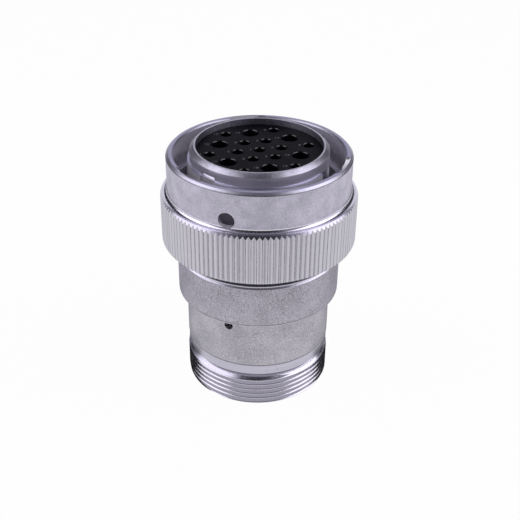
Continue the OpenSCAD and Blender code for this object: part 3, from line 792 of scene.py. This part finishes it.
def makeThread():
    # One ridge carried along a helix: a flat crest between steep flanks whose ends are eased by 3s^2 - 2s^3,
    # with its foot sunk in the endbell's core. It fades out in front, on the far side. Behind, the chamfer
    # trims it and its heights crowd together above the rear face.
    b = bell
    core = b["threadRadius"] - b["threadDepth"]
    foot = b["crestHalf"] + b["threadDepth"] * math.tan(math.radians(b["flankTurn"]))
    flank = np.linspace(-foot, -b["crestHalf"], b["flankPoints"])
    u = np.concatenate([flank, -flank[::-1]])
    s = (foot - np.abs(u)) / (foot - b["crestHalf"])
    eased = (1 - b["flankSoft"]) * s + b["flankSoft"] * s * s * (3 - 2 * s)
    across = np.concatenate([[-foot], u, [foot]])
    rise = np.concatenate([[-b["sunk"]], b["threadDepth"] * eased, [-b["sunk"]]])[:, None]
    first, last = -b["lead"], b["threadTop"] - b["runOut"]
    turns = (last - first) / b["pitch"]
    t = np.linspace(0, 1, int(turns * b["columns"]))
    z = across[:, None] + first + (last - first) * t
    height = np.where(rise > 0, rise * np.clip((1 - t) * turns / b["fade"], 0, 1), rise)
    chamfered = b["threadRadius"] - b["rearChamfer"] + np.clip(z, 0, b["rearChamfer"])
    r = np.minimum(core + height, chamfered)
    z = np.where(z < b["lead"], b["lead"] * np.exp(np.minimum(z / b["lead"] - 1, 0)), z)
    turn = math.radians(b["helixStart"]) + (t - 1) * turns * 2 * np.pi
    piece = gridPiece("accessoryThread", spun(r, z, turn), 0, [threadMetal], closedCols=False)
    capEnds(piece)
    return dressed(piece, "plug", "endbell_metal")


def capEnds(piece):
    shape = bmesh.new()
    shape.from_mesh(piece.data)
    bmesh.ops.holes_fill(shape, edges=[e for e in shape.edges if e.is_boundary], sides=0)
    bmesh.ops.recalc_face_normals(shape, faces=shape.faces)
    shape.to_mesh(piece.data)
    shape.free()


endbell = makeBell()
thread = makeThread()
print("endbell and thread:", len(endbell.data.polygons), "and", len(thread.data.polygons), "faces")


# wave washer: a flat strip that rises and falls three times round the neck, with round edges

wave = {
    "low": 44.3, "high": 46.3, "strip": 0.5, "waves": 3, "inner": 18.58, "outer": 19.9, "columns": 288,
    "rounding": 0.08, "cornerSteps": 4, "keep": 0.6,
}


def makeWave():
    # the strip's rows all rise by swing times 1 + sin of three times the angle
    w = wave
    swing = (w["high"] - w["low"] - w["strip"]) / 2
    corners = [(w["inner"], 0), (w["outer"], 0), (w["outer"], w["strip"]), (w["inner"], w["strip"])]
    rows = turnedOutline(np.array([[r, z, w["rounding"]] for r, z in corners]), w["cornerSteps"])
    turn = np.linspace(0, 2 * np.pi, w["columns"], endpoint=False)
    z = rows[:, 1:] + w["low"] + swing + swing * np.sin(w["waves"] * turn)
    piece = gridPiece("waveWasher", spun(rows[:, :1] + 0 * turn, z, turn), 0, [springSteel])
    dressed(piece, "plug", "spring_steel", "wave_washer")
    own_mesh(piece)
    return piece


waveWasher = makeWave()
print("wave washer:", len(waveWasher.data.polygons), "faces")


# contact holes in the insert's face: numbers beside them, whose pale colour is painted glint of moulded
# numbers, and polished edges that glint

contacts = [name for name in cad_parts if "_contact_" in name]


def contactHole(name, sizes):
    # middle of a contact's hole on the insert's face, in metres, and its radius in mm
    low, high = (np.array(corner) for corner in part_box(name))
    middle = (low + high) / 2
    middle[2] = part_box("front_insert")[1].z
    return middle, sizes["smallHole"] if name.startswith("signal") else sizes["largeHole"]


numbers = {"height": 1.25, "thick": 0.012, "curve": 3, "gap": 0.42, "smallHole": 1.4, "largeHole": 2.05}


def makeNumbers():
    points, faces, count = [], [], 0
    for n, name in enumerate(sorted(contacts, key=lambda c: (not c.startswith("signal"), c))):
        text = bpy.data.curves.new("number", "FONT")
        text.body, text.size = str(n + 1), numbers["height"] * mm
        text.align_x, text.align_y = "RIGHT", "CENTER"
        text.extrude = numbers["thick"] * mm
        text.resolution_u = numbers["curve"]
        holder = placed("number", text)
        mesh = bpy.data.meshes.new_from_object(holder.evaluated_get(bpy.context.evaluated_depsgraph_get()))
        middle, hole = contactHole(name, numbers)
        co = np.empty(len(mesh.vertices) * 3, np.float32)
        mesh.vertices.foreach_get("co", co)
        points.append(co.reshape(-1, 3) + middle - [(hole + numbers["gap"]) * mm, 0, 0])
        faces += [[v + count for v in p.vertices] for p in mesh.polygons]
        count += len(mesh.vertices)
        bpy.data.objects.remove(holder)
        bpy.data.meshes.remove(mesh)
        bpy.data.curves.remove(text)
    mesh = bpy.data.meshes.new("contactNumbers")
    mesh.from_pydata(np.concatenate(points).tolist(), [], faces)
    mesh.materials.append(numberGlintPaint)
    return dressed(placed("contactNumbers", mesh), "plug", "insert_plastic")


holeRim = {
    "smallHole": 1.315, "largeHole": 1.975, "out": 0.04, "in": 0.09, "fall": 0.16, "proud": 0.012,
    "columns": 48,
}


def makeEdges():
    # a ring of three-cornered section round each hole: from its proud outer edge down the lead-in and back
    rim = holeRim
    turn = np.linspace(0, 2 * np.pi, rim["columns"], endpoint=False)
    quads = gridQuads(3, rim["columns"]).reshape(-1, 4)
    z = np.array([[rim["proud"]], [-rim["fall"]], [-rim["fall"]]])
    rings, faces = [], []
    for n, name in enumerate(contacts):
        middle, hole = contactHole(name, rim)
        r = np.array([[hole + rim["out"]], [hole - rim["in"]], [hole + rim["out"]]])
        rings.append(spun(r, z, turn).reshape(-1, 3) + middle)
        faces.append(quads + n * 3 * rim["columns"])
    faces = np.concatenate(faces)
    piece = rawPiece("holeEdges", np.concatenate(rings), faces, np.zeros(len(faces)), [edgeBlack])
    return dressed(piece, "plug", "insert_plastic")


contactNumbers, holeEdges = makeNumbers(), makeEdges()
print("contact numbers:", len(contactNumbers.data.polygons), "faces")
print("hole edges:", len(holeEdges.data.polygons), "faces")


# finishes of the solids that keep their own shape

def dressSolids():
    plain = {
        "thrust_washer": springSteel, "retaining_ring": springSteel, "grommet_follower": turnedSatin,
        "interface_seal": rubberBlack, "grommet": rubberBlack,
        "front_insert": insertBlack, "rear_insert": insertBlack,
    }
    for name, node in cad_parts.items():
        material = goldPlate if name in contacts else plain.get(name)
        if material:
            node.data.materials.clear()
            node.data.materials.append(material)


dressSolids()
print("washers, inserts, seals and contacts dressed")


# camera, fitted to the photo: mm, degrees and pixels of a 520 pixel square

lens = {
    "back": 189.83, "height": 149.81, "pitch": 31.893, "roll": 0.589, "focal": 883.6, "middle": 258.46,
    "frame": 520, "sensor": 36.0, "nearest": 5.0, "farthest": 10000.0,
}


def makeCamera():
    data = bpy.data.cameras.new("camera")
    data.sensor_fit, data.sensor_width = "HORIZONTAL", lens["sensor"]
    data.lens = lens["focal"] / lens["frame"] * lens["sensor"]
    data.shift_x = (lens["frame"] / 2 - lens["middle"]) / lens["frame"]
    data.clip_start, data.clip_end = lens["nearest"] * mm, lens["farthest"] * mm
    camera = placed("camera", data)
    camera.location = (0, -lens["back"] * mm, lens["height"] * mm)
    camera.rotation_mode = "ZXY"  # roll first, then pitch
    camera.rotation_euler = (math.radians(90 - lens["pitch"]), 0, math.radians(lens["roll"]))
    bpy.context.scene.camera = camera


makeCamera()


# stage, in metres: pale floor, soft boxes at the sides and behind, and dark cards that only reflections see;
# the cards on the floor round the base are painted shadow of the object, seen only in reflections

studio = {
    "floorSize": 3.0, "floorTone": 0.9, "floorWhite": 0.97, "world": (0.27, 0.265, 0.31),
    "boxes": [
        {"name": "leftBox", "at": (-0.343, -0.0475, 0.276), "size": (0.385, 0.42), "power": 0.825},
        {"name": "rightBox", "at": (0.343, -0.0475, 0.276), "size": (0.385, 0.42), "power": 0.92},
        {"name": "backBox", "at": (0, 0.36, 0.25), "size": (0.34, 0.26), "power": 0.18},
    ],
    "boxColour": (0.97, 0.95, 1.0),
    "cards": [
        {"name": "cameraCard", "at": (0, -0.30, 0.25), "size": (0.36, 0.5), "tone": 0.05},
        {"name": "leftCornerCard", "at": (-0.252, 0.238, 0.245), "size": (0.25, 0.36), "tone": 0.03},
        {"name": "rightCornerCard", "at": (0.252, 0.238, 0.245), "size": (0.25, 0.36), "tone": 0.03},
    ],
    # painted shadow: cards on the floor round the base darken what the metal reflects there, as the object's
    # own shadow would
    "floorShadowCards": [
        {"name": "floorCard", "at": (0, 0.008, 0.00010), "size": (0.056, 0.028), "tone": 0.1},
        {"name": "leftFloorCard", "at": (-0.055, 0.07, 0.00005), "size": (0.06, 0.11), "tone": 0.72},
        {"name": "rightFloorCard", "at": (0.055, 0.07, 0.00005), "size": (0.06, 0.11), "tone": 0.72},
    ],
    "aim": (0, 0, 0.035),
}


def flatCard(name, width, depth):
    mesh = bpy.data.meshes.new(name)
    x, y = width / 2, depth / 2
    mesh.from_pydata([(-x, -y, 0), (x, -y, 0), (x, y, 0), (-x, y, 0)], [], [(0, 1, 2, 3)])
    return placed(name, mesh)


def facing(thing, at, aim):
    thing.location = at
    away = np.array(at) - np.array(aim)
    side = np.hypot(away[0], away[1])
    thing.rotation_euler = (math.atan2(side, away[2]), 0, math.atan2(away[0], -away[1]))


def darkCard(spec):
    # card that only reflections see
    card = flatCard(spec["name"], *spec["size"])
    material, shade = newMaterial(card.name)
    dark = shade.node("ShaderNodeBsdfDiffuse", {}, {"Color": (spec["tone"],) * 3 + (1,)})
    shade.node("ShaderNodeOutputMaterial", {}, {"Surface": dark})
    card.data.materials.append(material)
    card.visible_camera = card.visible_diffuse = card.visible_shadow = card.visible_transmission = False
    return card


def makeStage():
    floor = flatCard("floor", studio["floorSize"], studio["floorSize"])
    material, shade = newMaterial("pale floor")
    ray = shade.node("ShaderNodeLightPath", {}, {}, out="Is Camera Ray")
    seen = ray + ray.output("Is Glossy Ray") + ray.output("Is Transmission Ray")
    tone = studio["floorTone"]
    pale = shade.node("ShaderNodeBsdfDiffuse", {}, {"Color": (tone, tone, tone, 1)})
    white = shade.node("ShaderNodeEmission", {}, {"Color": (1, 1, 1, 1), "Strength": 1.0})
    both = shade.node("ShaderNodeMixShader", {}, {0: seen * studio["floorWhite"], 1: pale, 2: white})
    shade.node("ShaderNodeOutputMaterial", {}, {"Surface": both})
    floor.data.materials.append(material)
    for box in studio["boxes"]:
        light = bpy.data.lights.new(box["name"], "AREA")
        light.shape, light.energy = "RECTANGLE", box["power"]
        light.size, light.size_y = box["size"]
        light.color = studio["boxColour"]
        facing(placed(box["name"], light), box["at"], studio["aim"])
    for spec in studio["cards"]:
        facing(darkCard(spec), spec["at"], studio["aim"])
    # painted shadow of the object on the floor, for reflections only
    for spec in studio["floorShadowCards"]:
        darkCard(spec).location = spec["at"]
    world = bpy.data.worlds.new("studio")
    world.use_nodes = True
    sky = world.node_tree.nodes["Background"]
    sky.inputs["Color"].default_value = (*studio["world"], 1)
    bpy.context.scene.world = world
    bpy.context.scene.view_settings.view_transform = "Standard"


makeStage()
print("camera and stage made")
